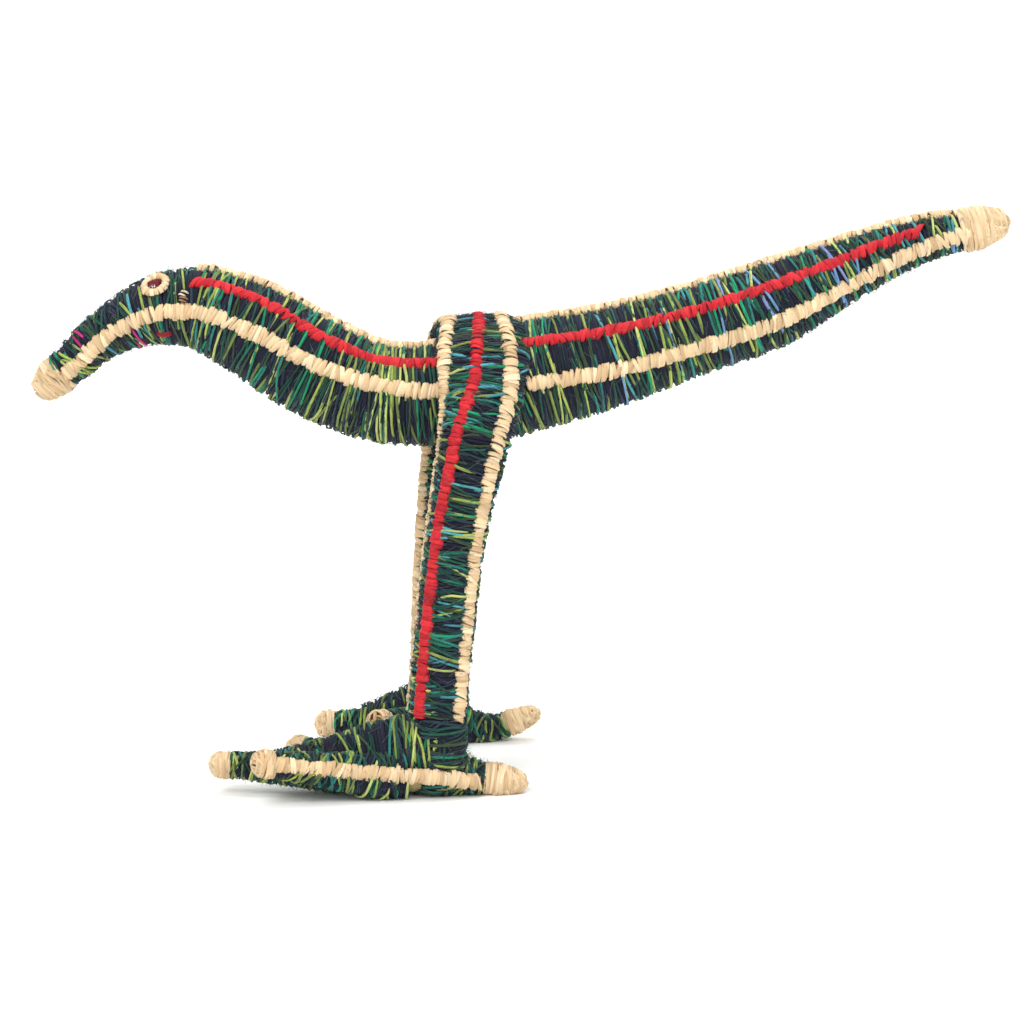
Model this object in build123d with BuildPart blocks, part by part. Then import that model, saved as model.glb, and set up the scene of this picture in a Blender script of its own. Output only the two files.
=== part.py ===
"""Fibre bird figure: a bundle of grass on a wire, wound with wool and edged with stitched raffia.

Millimetres, +Z up, the head towards -X and the floor at Z 0. The origin is on the floor, under the
middle of the overall length. The bird's own left side is -Y.
"""

import math
import os

from build123d import *

os.makedirs("parts", exist_ok=True)

# ---------------------------------------------------------------- driving dimensions
overall_length = 540.0  # outside of the beak cap to outside of the tail cap
hip_height = 218.5  # centre of the body above the floor, under the saddle
hip_spread = 42.0  # centre plane to each leg where it leaves the body
ankle_spread = 57.0  # centre plane to each ankle
ankle_height = 43.0  # where the leg's wool meets the foot's
far_leg_lead = 10.0  # how far the right hip stands ahead of the left one

beak_cap_reach = 9.0  # how far each cap stands past the end of the wool
tail_cap_reach = 18.0
beak_cap_grip = 9.0  # how far each cap laps back over the wool
tail_cap_grip = 9.0
cap_wall = 2.2  # thickness of a cap where it laps over the wool
tail_knot_extra = 1.2  # how much thicker the folded end of the tail cap is

body_wool_layer = 5.0  # thickness of the wound wool
leg_wool_layer = 4.5
toe_wool_layer = 3.5
sole_wool = 2.0

raffia_half_width = 4.2  # a stitched raffia ridge, before it is bedded in the wool
raffia_half_height = 3.2
raffia_sink = 1.2  # how deep the middle of the ridge lies below the wool
edge_half_width = 3.9
edge_half_height = 2.6
edge_sink = 0.8
edge_turn = 14.0  # how far up the side of the outer toe its edge line runs
red_half_width = 3.2
red_half_height = 2.6
red_sink = 1.0

wire_radius = 1.25
toe_wire_radius = 0.9
toe_wire_start = 13.0  # ankle to the start of each toe wire
wire_end_share = 0.97  # share of the way to the toe's cap at which the wire stops
wire_lift = 1.6  # how far the leg wire lies above the back
twine_depth = 1.2  # how far the twine pulls the grass in
twine_width = 5.0
twine_cover = 0.8  # grass that closes over the twine

eye_angle = 39.0  # from the crown down to the eye
eye_ring_radius = 8.0
eye_centre_radius = 3.8
eye_ring_rise = 2.2
eye_centre_rise = 2.8
eye_depth = 3.0  # how deep the eye is bedded in the wool
mouth_angle = 128.0
mouth_length = 9.0
mouth_width = 3.0

instep_swell = 1.5  # how much longer the ankle grows above the heel
sole_depth = 2.5  # how much of the rounded foot is pressed flat on the floor
heel_ball_extra = 0.8  # how far the ball of the heel stands out from the toes' roots
cap_round_share = 0.62  # rounding of a cap's outer rim, as a share of its radius
toe_cap_wall = 1.0  # how far a toe cap stands out from the toe

# Spine stations: share of the spine's length, rise of the centre above the hip, radius of the wool.
BEAK_END, BEAK_BAND, BEAK_MID, EYE, CROWN, NAPE, NECK, BREAST = range(8)
SADDLE_FRONT, HIP, SADDLE_REAR, RUMP, TAIL_ROOT, TAIL_MID, TAIL_BLADE, TAIL_END, TAIL_TIP = range(8, 17)
spine_stations = [
    (0.000, 1.0, 8.6),
    (0.029, 14.5, 10.8),
    (0.064, 29.0, 13.0),
    (0.123, 41.6, 19.3),
    (0.157, 42.5, 21.6),
    (0.213, 32.0, 25.4),
    (0.281, 11.0, 27.4),
    (0.353, -4.8, 26.8),
    (0.419, -6.0, 28.0),
    (0.469, -1.5, 31.0),
    (0.519, 4.8, 30.5),
    (0.595, 13.5, 28.0),
    (0.686, 27.8, 24.4),
    (0.779, 43.6, 23.2),
    (0.857, 62.4, 17.2),
    (0.938, 79.0, 12.0),
    (1.000, 86.0, 9.0),
]
# From the back down to the lines along each side, at each spine station.
raffia_angles = [92, 90, 82, 78, 78, 75, 72, 66, 70, 77, 84, 89, 96, 98, 99, 92, 80]
red_angles = [24, 24, 24, 24, 24, 27, 33, 29, 28, 32, 36, 40, 45, 44, 46, 38, 30]
twine_stations = [BEAK_MID, CROWN, NECK, SADDLE_FRONT, SADDLE_REAR, TAIL_ROOT, TAIL_BLADE]

# Leg stations, up from the ankle: share of the height from ankle to hip, share of the way out from
# hip to ankle, distance ahead of the hip, half length, half thickness.
ANKLE, SHIN, KNEE, THIGH, FLANK, SIDE, SHOULDER, CREST, TOP = range(9)
leg_stations = [
    (0.00, 1.00, 26.5, 15.0, 13.5),
    (0.30, 0.86, 21.5, 15.2, 13.5),
    (0.60, 0.58, 14.5, 15.8, 13.5),
    (0.86, 0.14, 5.0, 18.5, 13.0),
]
# Saddle stations, over the back: angle from the crest, distance of the centre line out from the
# body, half length, half thickness.
saddle_stations = [
    (88.0, 3.0, 22.0, 10.5),
    (64.0, 1.0, 24.0, 8.8),
    (42.0, 0.3, 25.0, 7.6),
    (21.0, 0.0, 25.0, 6.8),
    (0.0, 0.0, 25.0, 6.5),
]
front_line_turn = [-112.0, -112.0, -112.0, -105.0, -82.0, -70.0, -60.0, -54.0, -50.0]
rear_line_turn = [50.0, 50.0, 46.0, 42.0, 40.0, 36.0, 32.0, 26.0, 22.0]
red_line_turn = [-40.0, -42.0, -42.0, -36.0, -14.0, -10.0, -8.0, -6.0, -6.0]
leg_twine_stations = [SHIN, KNEE]

# Toes: reach from the ankle, swing from straight ahead towards the outside, lift of the tip, radius
# at the tip, length of the cap.
toe_names = ["outer", "middle", "inner", "hind"]
OUTER, MIDDLE, INNER, HIND = range(4)
toes = {
    "left": [
        (102.5, 16.0, 21.5, 5.6, 11.0),
        (123.5, 0.0, 13.5, 5.6, 11.0),
        (93.5, -27.0, 12.0, 5.6, 11.0),
        (48.5, 180.0, 4.5, 6.6, 22.0),
    ],
    "right": [
        (54.0, 32.5, 2.0, 5.8, 10.0),
        (72.0, 0.0, 7.5, 5.6, 11.0),
        (54.0, -45.0, 16.5, 5.8, 10.0),
        (59.5, 178.0, 14.0, 5.2, 20.0),
    ],
}
toe_root_radius = 16.5
toe_shares = [0.0, 0.30, 0.60, 1.0]  # where each toe is measured along its reach
least_step = 0.05  # a share nearer than this to the cap is left out of the loft
front_falloff = [1.0, 0.70, 0.32, 0.0]  # share of the root's extra radius that is left
hind_falloff = [1.0, 0.45, 0.14, 0.0]
front_lifts = [0.0, 0.08, 0.50, 1.0]  # share of the tip's lift
hind_lifts = [0.0, 0.04, 0.30, 1.0]
# Slope of the instep, along the middle toe: distance from the ankle, rise over the toe, radius.
insteps = {
    "left": [(0.0, 16.0, 13.2), (24.0, 17.0, 12.5), (46.0, 12.0, 10.3), (72.0, 6.0, 8.6)],
    "right": [(0.0, 12.0, 13.2), (24.0, 6.0, 12.0), (44.0, 1.5, 9.0)],
}
# Foot edge line behind the outer toe: distance behind the ankle, way out from it, height.
heel_edge_points = [(23.0, 10.5, 8.5), (3.0, 16.8, 12.3)]

spine_start = -overall_length / 2 + beak_cap_reach
spine_end = overall_length / 2 - tail_cap_reach


# ---------------------------------------------------------------- body: stations along the spine
def station_point(k):
    share, rise, _ = spine_stations[k]
    return Vector(spine_start + share * (spine_end - spine_start), 0, hip_height + rise)


with BuildLine() as spine_line:
    Spline(*[station_point(k) for k in range(len(spine_stations))])
spine = spine_line.edge()


def station_plane(k):
    """Plane square to the spine at station k, with its X towards the bird's right side."""
    tangent = spine.tangent_at(spine.param_at_point(station_point(k)))
    return Plane(origin=station_point(k), x_dir=(0, 1, 0), z_dir=tangent)


def skin_plane(k, angle, sink=0.0):
    """Plane on the wool at station k, at an angle from the back: X runs around the body, Z along it."""
    plane = station_plane(k)
    turn = math.radians(angle)
    back = plane.y_dir
    outward = back * math.cos(turn) + plane.x_dir * math.sin(turn)
    around = plane.x_dir * math.cos(turn) - back * math.sin(turn)
    origin = plane.origin + outward * (spine_stations[k][2] - sink)
    return Plane(origin=origin, x_dir=around, z_dir=plane.z_dir)


def body_blank(inset):
    """The body's whole form, its surface moved in by inset."""
    with BuildPart() as blank:
        for k in range(len(spine_stations)):
            with BuildSketch(station_plane(k)):
                Circle(spine_stations[k][2] - inset)
        loft(ruled=True)
    return blank.part


def between(form, first, last):
    """The stretch of a body form between two station planes; None leaves that end as it is."""
    with BuildPart() as stretch:
        add(form)
        if first is not None:
            split(bisect_by=station_plane(first), keep=Keep.TOP)
        if last is not None:
            split(bisect_by=station_plane(last), keep=Keep.BOTTOM)
    return stretch.part


def body_ridge(angles, first, last, half_width, half_height, sink):
    """A ridge of stitches along the body, bedded in the wool, between two stations."""
    with BuildPart() as ridge:
        for k in range(first, last + 1):
            with BuildSketch(skin_plane(k, angles[k], sink)):
                Ellipse(half_width, half_height)
        loft(ruled=True)
    return ridge.part


# ---------------------------------------------------------------- legs: stations over the back
def leg_point(side, k):
    """Centre of the leg at station k, on the side -1 (left) or 1 (right)."""
    lead = far_leg_lead * (side + 1) / 2
    hip = station_point(HIP)
    if k < FLANK:
        climb, way_out, ahead, _, _ = leg_stations[k]
        height = ankle_height + climb * (hip_height - ankle_height)
        spread = hip_spread + way_out * (ankle_spread - hip_spread)
        return Vector(hip.X - ahead - lead * climb, side * spread, height)
    turn, out, _, _ = saddle_stations[k - FLANK]
    reach = spine_stations[HIP][2] + out
    turned = math.radians(turn)
    ahead = lead * turn / saddle_stations[0][0]
    return Vector(hip.X - ahead, side * reach * math.sin(turned), hip.Z + reach * math.cos(turned))


def leg_size(k):
    """Half length and half thickness of the leg's wool at station k."""
    return (leg_stations + saddle_stations)[k][-2:]


yoke_order = [(-1, k) for k in range(TOP + 1)] + [(1, k) for k in range(TOP - 1, -1, -1)]


def leg_plane(side, k):
    """Plane square to the leg's run at station k, with its X towards the tail."""
    place = yoke_order.index((side, k))
    before = leg_point(*yoke_order[max(place - 1, 0)])
    after = leg_point(*yoke_order[min(place + 1, len(yoke_order) - 1)])
    run = Vector(0, 0, -side) if k == ANKLE else after - before
    across = Vector(1, 0, 0) - run.normalized() * run.normalized().X
    return Plane(origin=leg_point(side, k), x_dir=across, z_dir=run)


def leg_skin_plane(side, k, turn, sink):
    """Plane on the leg's wool, turned from its outer face, positive towards the tail."""
    plane = leg_plane(side, k)
    half_length, half_thickness = leg_size(k)
    angle = math.radians(turn)
    outward = plane.y_dir * -1
    reach = outward * (half_thickness - sink) * math.cos(angle)
    reach += plane.x_dir * (half_length - sink) * math.sin(angle)
    around = plane.x_dir * half_length * math.cos(angle) - outward * half_thickness * math.sin(angle)
    return Plane(origin=plane.origin + reach, x_dir=around, z_dir=plane.z_dir)


def yoke_blank(inset):
    """Both legs and the band over the back in one form, its surface moved in by inset."""
    with BuildPart() as blank:
        for side, k in yoke_order:
            half_length, half_thickness = leg_size(k)
            with BuildSketch(leg_plane(side, k)):
                Ellipse(half_length - inset, half_thickness - inset)
        loft(ruled=True)
    return blank.part


def leg_part(form, side):
    """One leg of a yoke form, below its thigh station."""
    with BuildPart() as leg:
        add(form)
        split(bisect_by=Plane.XZ, keep=Keep.TOP if side < 0 else Keep.BOTTOM)
        split(bisect_by=leg_plane(side, THIGH), keep=Keep.BOTTOM if side < 0 else Keep.TOP)
    return leg.part


def leg_ridge(order, turns, half_width, half_height, sink):
    """A ridge of stitches along a leg or over the back, through the given stations."""
    with BuildPart() as ridge:
        for side, k in order:
            with BuildSketch(leg_skin_plane(side, k, turns[k], sink)):
                Ellipse(half_width, half_height)
        loft(ruled=True)
    return ridge.part


# ---------------------------------------------------------------- feet: toes out from each ankle
def ankle_point(side):
    ankle = leg_point(side, ANKLE)
    return Vector(ankle.X, ankle.Y, 0)


def toe_sizes(side, toe):
    return toes["left" if side < 0 else "right"][toe]


def toe_radius(side, toe, share):
    tip_radius = toe_sizes(side, toe)[3]
    falloff = toe_value(hind_falloff if toe == HIND else front_falloff, share)
    return tip_radius + (toe_root_radius - tip_radius) * falloff


def toe_heading(side, toe):
    """Level direction in which a toe points."""
    swing = math.radians(toe_sizes(side, toe)[1])
    return Vector(-math.cos(swing), side * math.sin(swing), 0)


def toe_point(side, toe, share):
    """Centre of a toe at a share of its reach."""
    reach, _, lift, _, _ = toe_sizes(side, toe)
    raised = lift * toe_value(hind_lifts if toe == HIND else front_lifts, share)
    height = toe_radius(side, toe, share) - sole_depth + raised
    return ankle_point(side) + toe_heading(side, toe) * reach * share + Vector(0, 0, height)


def toe_value(values, share):
    """Value between the toe stations, in proportion."""
    for k in range(len(toe_shares) - 1):
        low, high = toe_shares[k], toe_shares[k + 1]
        if share <= high:
            return values[k] + (values[k + 1] - values[k]) * (share - low) / (high - low)
    return values[-1]


def cap_share(side, toe):
    """Share of the toe's reach at which its cap begins."""
    reach, cap_length = toe_sizes(side, toe)[0], toe_sizes(side, toe)[4]
    return 1 - cap_length / reach


def toe_plane(side, toe, share):
    """Plane square to a toe, with its X level."""
    step = 0.02
    ahead = toe_point(side, toe, share + step) - toe_point(side, toe, share - step)
    if share >= cap_share(side, toe):
        ahead = toe_point(side, toe, 1.0) - toe_point(side, toe, 1 - step)
    if share == 0:
        ahead = toe_heading(side, toe)
    level = toe_heading(side, toe).cross(Vector(0, 0, 1))
    return Plane(origin=toe_point(side, toe, share), x_dir=level, z_dir=ahead)


def toe_blank(side, toe, inset):
    """A toe from the ankle to its cap."""
    end = cap_share(side, toe)
    with BuildPart() as blank:
        for share in [part for part in toe_shares if part < end - least_step] + [end]:
            with BuildSketch(toe_plane(side, toe, share)):
                Circle(toe_radius(side, toe, share) - inset)
        loft(ruled=True)
    return blank.part


def toe_wire(side, toe):
    """The thin wire inside a toe, from beside the leg's wire to just short of the cap."""
    first = toe_wire_start / toe_sizes(side, toe)[0]
    last = wire_end_share * cap_share(side, toe)
    with BuildPart() as wire:
        for share in [first, (first + last) / 2, last]:
            with BuildSketch(toe_plane(side, toe, share)):
                Circle(toe_wire_radius)
        loft(ruled=True)
    return wire.part


def instep_blank(side, inset):
    """The ankle down into the foot: from the leg's end to a ball on the floor."""
    top = leg_plane(side, ANKLE)
    half_length, half_thickness = leg_size(ANKLE)
    ball_radius = toe_root_radius + heel_ball_extra
    ball_height = toe_root_radius - sole_depth
    middle_height = (ankle_height + ball_height) / 2
    with BuildPart() as blank:
        with BuildSketch(top):
            Ellipse(half_length - inset, half_thickness - inset)
        with BuildSketch(Plane(ankle_point(side) + Vector(0, 0, middle_height))):
            Ellipse(half_length + instep_swell - inset, half_thickness - inset)
        with BuildSketch(Plane(ankle_point(side) + Vector(0, 0, ball_height))):
            Circle(ball_radius - heel_ball_extra / 2 - inset)
        loft(ruled=True)
        with Locations(ankle_point(side) + Vector(0, 0, ball_height)):
            Sphere(ball_radius - inset)
    return blank.part


def instep_ridge(side, inset):
    """The slope from the front of the ankle down onto the middle toe."""
    with BuildPart() as ridge:
        for distance, rise, radius in insteps["left" if side < 0 else "right"]:
            base = toe_plane(side, MIDDLE, distance / toe_sizes(side, MIDDLE)[0])
            with BuildSketch(Plane(base.origin + Vector(0, 0, rise), x_dir=base.x_dir, z_dir=base.z_dir)):
                Circle(radius - inset)
        loft(ruled=True)
    return ridge.part


def foot_blank(side, inset, floor=0.0):
    """A whole foot without its caps, pressed flat underneath."""
    with BuildPart() as foot:
        add(instep_blank(side, inset))
        add(instep_ridge(side, inset))
        for toe in range(len(toe_names)):
            add(toe_blank(side, toe, inset))
        split(bisect_by=Plane.XY.offset(floor), keep=Keep.TOP)
        split(bisect_by=leg_plane(side, ANKLE), keep=Keep.BOTTOM if side < 0 else Keep.TOP)
    return foot.part


def round_cap(plane, radius, length):
    """A blunt raffia cap standing on a plane, rounded at its outer end."""
    with BuildPart() as cap:
        with BuildSketch(plane):
            Circle(radius)
        extrude(amount=length)
        rim = cap.faces().sort_by(Axis(plane.origin, plane.z_dir))[-1]
        fillet(rim.edges(), radius * cap_round_share)
        split(bisect_by=Plane.XY, keep=Keep.TOP)
    return cap.part


# ---------------------------------------------------------------- whole forms that the parts share
written = []


def write(name, part):
    """Label a finished sub-part and write it."""
    part.label = name
    export_step(part, "parts/" + name + ".step")
    written.append(name)


def less(form, *cutters):
    """A form with others taken out of it."""
    with BuildPart() as rest:
        add(form)
        for cutter in cutters:
            add(cutter, mode=Mode.SUBTRACT)
    return rest.part


body_form = body_blank(0.0)
body_core_form = body_blank(body_wool_layer)
yoke_form = yoke_blank(0.0)
side_names = {-1: "left", 1: "right"}
toe_cap_forms = {}
for side in side_names:
    for toe in range(len(toe_names)):
        start = cap_share(side, toe)
        plane = toe_plane(side, toe, start)
        toe_cap_forms[side, toe] = round_cap(
            plane, toe_radius(side, toe, start) + toe_cap_wall, toe_sizes(side, toe)[4]
        )

# ---------------------------------------------------------------- raffia and red lines on the body
raffia = (raffia_half_width, raffia_half_height, raffia_sink)
red = (red_half_width, red_half_height, red_sink)
body_lines = {}
for side, side_name in side_names.items():
    body_lines[side_name + "_side_line"] = body_ridge([side * angle for angle in raffia_angles], BEAK_BAND, SADDLE_FRONT, *raffia)
    body_lines[side_name + "_tail_line"] = body_ridge([side * angle for angle in raffia_angles], SADDLE_REAR, TAIL_TIP, *raffia)
    body_lines[side_name + "_red_neck_line"] = body_ridge([side * angle for angle in red_angles], CROWN, SADDLE_FRONT, *red)
    body_lines[side_name + "_red_tail_line"] = body_ridge([side * angle for angle in red_angles], SADDLE_REAR, TAIL_END, *red)
along_back = [0 for _ in spine_stations]
body_lines["crown_line"] = body_ridge(along_back, CROWN, SADDLE_FRONT, *raffia)
body_lines["tail_top_line"] = body_ridge(along_back, SADDLE_REAR, TAIL_TIP, *raffia)

beak_plane = station_plane(BEAK_END)
tail_plane = station_plane(TAIL_TIP)
beak_cap = round_cap(
    Plane(origin=beak_plane.origin + beak_plane.z_dir * beak_cap_grip, x_dir=(0, 1, 0), z_dir=beak_plane.z_dir * -1),
    spine_stations[BEAK_END][2] + cap_wall,
    beak_cap_grip + beak_cap_reach,
)
tail_cap = round_cap(
    Plane(origin=tail_plane.origin - tail_plane.z_dir * tail_cap_grip, x_dir=(0, 1, 0), z_dir=tail_plane.z_dir),
    spine_stations[TAIL_TIP][2] + cap_wall + tail_knot_extra,
    tail_cap_grip + tail_cap_reach,
)
body_lines = {name: less(line, yoke_form, beak_cap, tail_cap) for name, line in body_lines.items()}
write("beak_cap", less(beak_cap, body_form))
write("tail_cap", less(tail_cap, body_form))
for name, line in body_lines.items():
    write(name, line)

# ---------------------------------------------------------------- eyes and the corners of the beak
face = []
for side, side_name in side_names.items():
    eye_base = skin_plane(EYE, side * eye_angle, eye_depth)
    outward = (eye_base.origin - station_plane(EYE).origin).normalized()
    eye_plane = Plane(origin=eye_base.origin, x_dir=eye_base.z_dir, z_dir=outward)
    with BuildPart() as eye_ring:
        with BuildSketch(eye_plane):
            Circle(eye_ring_radius)
            Circle(eye_centre_radius, mode=Mode.SUBTRACT)
        extrude(amount=eye_depth + eye_ring_rise)
        outer_rim = eye_ring.edges().filter_by(GeomType.CIRCLE).group_by(SortBy.RADIUS)[-1]
        fillet(outer_rim.sort_by(Axis(eye_plane.origin, outward))[-1], 1.5)
    with BuildPart() as eye_centre:
        with BuildSketch(eye_plane):
            Circle(eye_centre_radius)
        extrude(amount=eye_depth + eye_centre_rise)
        fillet(eye_centre.edges().sort_by(Axis(eye_plane.origin, outward))[-1], 1.2)
    mouth_base = skin_plane(EYE, side * mouth_angle, mouth_width / 2)
    mouth_out = (mouth_base.origin - station_plane(EYE).origin).normalized()
    with BuildPart() as mouth_stitch:
        with BuildSketch(Plane(origin=mouth_base.origin, x_dir=mouth_base.z_dir, z_dir=mouth_out)):
            SlotOverall(mouth_length, mouth_width)
        extrude(amount=mouth_width)
    write(side_name + "_eye_ring", eye_ring.part)
    write(side_name + "_eye_centre", eye_centre.part)
    write(side_name + "_mouth_stitch", mouth_stitch.part)
    face += [eye_ring.part, eye_centre.part, mouth_stitch.part]

# ---------------------------------------------------------------- raffia and red lines on the legs
over_back = yoke_order[THIGH:-THIGH]
leg_lines = {
    "hip_front_line": leg_ridge(over_back, front_line_turn, *raffia),
    "hip_rear_line": leg_ridge(over_back, rear_line_turn, *raffia),
}
for side, side_name in side_names.items():
    down_leg = [(side, k) for k in range(THIGH, -1, -1)]
    leg_lines[side_name + "_leg_front_line"] = leg_ridge(down_leg, front_line_turn, *raffia)
    leg_lines[side_name + "_leg_rear_line"] = leg_ridge(down_leg, rear_line_turn, *raffia)
leg_lines = {name: less(line, body_form) for name, line in leg_lines.items()}
red_over_back = leg_ridge(yoke_order, red_line_turn, *red)
for side, side_name in side_names.items():
    with BuildPart() as red_leg_line:
        add(red_over_back)
        split(bisect_by=Plane.XZ, keep=Keep.TOP if side < 0 else Keep.BOTTOM)
    leg_lines[side_name + "_red_leg_line"] = red_leg_line.part
for name, line in leg_lines.items():
    write(name, line)

# ---------------------------------------------------------------- raffia along the edge of each foot
edge_lines = {}
for side, side_name in side_names.items():
    outside = toe_heading(side, OUTER).cross(Vector(0, 0, side))
    route = [ankle_point(side) + Vector(back, side * out, up) for back, out, up in heel_edge_points]
    for share in toe_shares[1:-1] + [cap_share(side, OUTER)]:
        reach = toe_radius(side, OUTER, share) - edge_sink
        turn = math.radians(edge_turn)
        way = outside * math.cos(turn) + Vector(0, 0, 1) * math.sin(turn)
        route.append(toe_point(side, OUTER, share) + way * reach)
    with BuildPart() as edge_line:
        for k, place in enumerate(route):
            run = route[min(k + 1, len(route) - 1)] - route[max(k - 1, 0)]
            with BuildSketch(Plane(origin=place, x_dir=Vector(0, 0, 1) - run * (run.Z / run.dot(run)), z_dir=run)):
                Ellipse(edge_half_width, edge_half_height)
        loft(ruled=True)
        split(bisect_by=Plane.XY, keep=Keep.TOP)
    edge_lines[side_name + "_foot_edge_line"] = edge_line.part

# ---------------------------------------------------------------- feet
for side, side_name in side_names.items():
    caps = [toe_cap_forms[side, toe] for toe in range(len(toe_names))]
    foot_form = foot_blank(side, 0.0)
    foot_core = less(foot_blank(side, toe_wool_layer, sole_wool), edge_lines[side_name + "_foot_edge_line"])
    edge_line = edge_lines[side_name + "_foot_edge_line"]
    for toe, toe_name in enumerate(toe_names):
        cap = less(caps[toe], foot_form)
        write(side_name + "_" + toe_name + "_toe_cap", cap)
    wires = [toe_wire(side, toe) for toe in range(len(toe_names))]
    with BuildPart() as toe_wires:
        for wire in wires:
            add(wire)
    write(side_name + "_toe_wires", toe_wires.part)
    edge_line = less(edge_line, *caps)
    write(side_name + "_foot_edge_line", edge_line)
    leg_ends = [line for name, line in leg_lines.items() if name.startswith(side_name)]
    write(side_name + "_foot_wool", less(foot_form, foot_core, edge_line, *leg_ends))
    write(side_name + "_foot_grass", less(foot_core, toe_wires.part))

# ---------------------------------------------------------------- wires of the body and the legs
with BuildPart() as spine_wire:
    for k in range(BEAK_BAND, TAIL_TIP + 1):
        with BuildSketch(station_plane(k)):
            Circle(wire_radius)
    loft(ruled=True)
write("spine_wire", spine_wire.part)

with BuildPart() as leg_wire:
    for side, k in yoke_order:
        plane = leg_plane(side, k)
        rise = wire_lift if k > SIDE else 0.0
        with BuildSketch(Plane(origin=plane.origin - plane.y_dir * rise, x_dir=plane.x_dir, z_dir=plane.z_dir)):
            Circle(wire_radius)
    loft(ruled=True)
write("leg_wire", leg_wire.part)

# ---------------------------------------------------------------- legs and the saddle
yoke_core_form = yoke_blank(leg_wool_layer)
for side, side_name in side_names.items():
    own_lines = [line for name, line in leg_lines.items() if name.startswith(side_name)]
    leg_form = less(leg_part(yoke_form, side), body_form)
    core_form = less(leg_part(yoke_core_form, side), body_form)
    with BuildPart() as leg_twine:
        for k in leg_twine_stations:
            with BuildSketch(leg_plane(side, k)):
                Circle(leg_size(k)[1] - leg_wool_layer - twine_cover)
                Circle(leg_size(k)[1] - leg_wool_layer - twine_cover - twine_depth, mode=Mode.SUBTRACT)
            extrude(amount=twine_width)
    write(side_name + "_leg_twine", leg_twine.part)
    write(side_name + "_leg_wool", less(leg_form, core_form, leg_wire.part, *own_lines))
    write(side_name + "_leg_grass", less(core_form, leg_wire.part, leg_twine.part))

with BuildPart() as saddle:
    add(yoke_form)
    for side in side_names:
        split(bisect_by=leg_plane(side, THIGH), keep=Keep.TOP if side < 0 else Keep.BOTTOM)
write("saddle_wool", less(saddle.part, body_form, leg_wire.part, *leg_lines.values()))

# ---------------------------------------------------------------- body: wool, grass and twine
wool_ends = {
    "beak_wool": (None, EYE),
    "head_wool": (EYE, NECK),
    "belly_wool": (NECK, RUMP),
    "tail_wool": (RUMP, None),
}
for name, (first, last) in wool_ends.items():
    shell = less(between(body_form, first, last), body_core_form)
    write(name, less(shell, *body_lines.values(), *face, leg_wire.part))

with BuildPart() as body_twine:
    for k in twine_stations:
        twine_radius = spine_stations[k][2] - body_wool_layer - twine_cover
        with BuildSketch(station_plane(k)):
            Circle(twine_radius)
            Circle(twine_radius - twine_depth, mode=Mode.SUBTRACT)
        extrude(amount=twine_width / 2, both=True)
write("body_twine", body_twine.part)
write("body_grass", less(body_core_form, spine_wire.part, body_twine.part, *face))

print(len(written), "nodes")
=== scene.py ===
# %% [markdown]
# # A bird wound from wool and raffia
# The real bird is a bundle of grass on a wire. Wool yarn is wound round it turn by turn, and raffia
# strips are stitched over the wool in long lines. This lesson builds it the same way: a form first,
# then yarn laid round the form, then stitches laid across each line. The frame holds every part's
# size and place, so it is loaded before anything is made.

# %% Load the frame
import math
import bpy
import numpy as np
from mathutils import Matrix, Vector


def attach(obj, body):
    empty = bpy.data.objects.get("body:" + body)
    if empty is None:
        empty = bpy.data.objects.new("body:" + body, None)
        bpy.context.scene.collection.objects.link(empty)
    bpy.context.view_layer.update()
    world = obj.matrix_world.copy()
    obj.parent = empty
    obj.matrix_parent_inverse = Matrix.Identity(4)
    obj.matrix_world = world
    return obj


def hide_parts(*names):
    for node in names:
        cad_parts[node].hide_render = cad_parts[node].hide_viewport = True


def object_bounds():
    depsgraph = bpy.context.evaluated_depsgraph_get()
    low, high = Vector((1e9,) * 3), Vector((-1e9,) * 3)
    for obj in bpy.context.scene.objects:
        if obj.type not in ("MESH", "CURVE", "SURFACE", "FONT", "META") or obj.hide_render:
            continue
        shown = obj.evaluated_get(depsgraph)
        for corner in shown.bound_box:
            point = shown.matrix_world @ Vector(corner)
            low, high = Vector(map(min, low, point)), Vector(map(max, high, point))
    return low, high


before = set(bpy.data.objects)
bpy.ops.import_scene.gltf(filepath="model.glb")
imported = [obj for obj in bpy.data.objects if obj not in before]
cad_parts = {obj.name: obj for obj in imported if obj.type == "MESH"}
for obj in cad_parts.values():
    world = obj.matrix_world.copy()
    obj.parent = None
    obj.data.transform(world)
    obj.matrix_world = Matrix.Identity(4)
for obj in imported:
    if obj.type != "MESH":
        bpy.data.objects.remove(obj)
cad_box = [list(map(float, corner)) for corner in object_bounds()]
bpy.ops.object.select_all(action="DESELECT")
MM = 0.001
low, high = (np.array(corner) for corner in cad_box)
print("the bird is", np.round((high - low) / MM, 1), "mm")

# %% [markdown]
# The camera comes first, because every judgement about the bird is made through it. A long lens
# from far off keeps the beak and the tail from swelling. It stands a little above the back and
# looks slightly down, so that both feet show.

# %% Camera
camera_data = bpy.data.cameras.new("studio_camera")
camera_data.lens = 95.4
camera_data.clip_end = 20
camera = bpy.data.objects.new("studio_camera", camera_data)
bpy.context.scene.collection.objects.link(camera)
look_down, swing = math.radians(9.42), math.radians(1.0)
camera_distance, camera_height, camera_shift = 1.5, 0.395, 0.005
camera.location = (-camera_distance * math.sin(swing) - camera_shift,
                   -camera_distance * math.cos(swing), camera_height)
camera.rotation_euler = (math.pi / 2 - look_down, 0, -swing)
bpy.context.scene.camera = camera
print("camera at", tuple(round(v, 3) for v in camera.location))

# %% [markdown]
# The bird stands on a plain pale sweep: one sheet that runs flat under the feet and curves up far
# behind. A sheet with no corner gives no line behind the bird. Three large lamps wrap it in soft
# light, so the shadow is only a faint patch under the feet. A fourth lights only the sweep behind.

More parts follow.
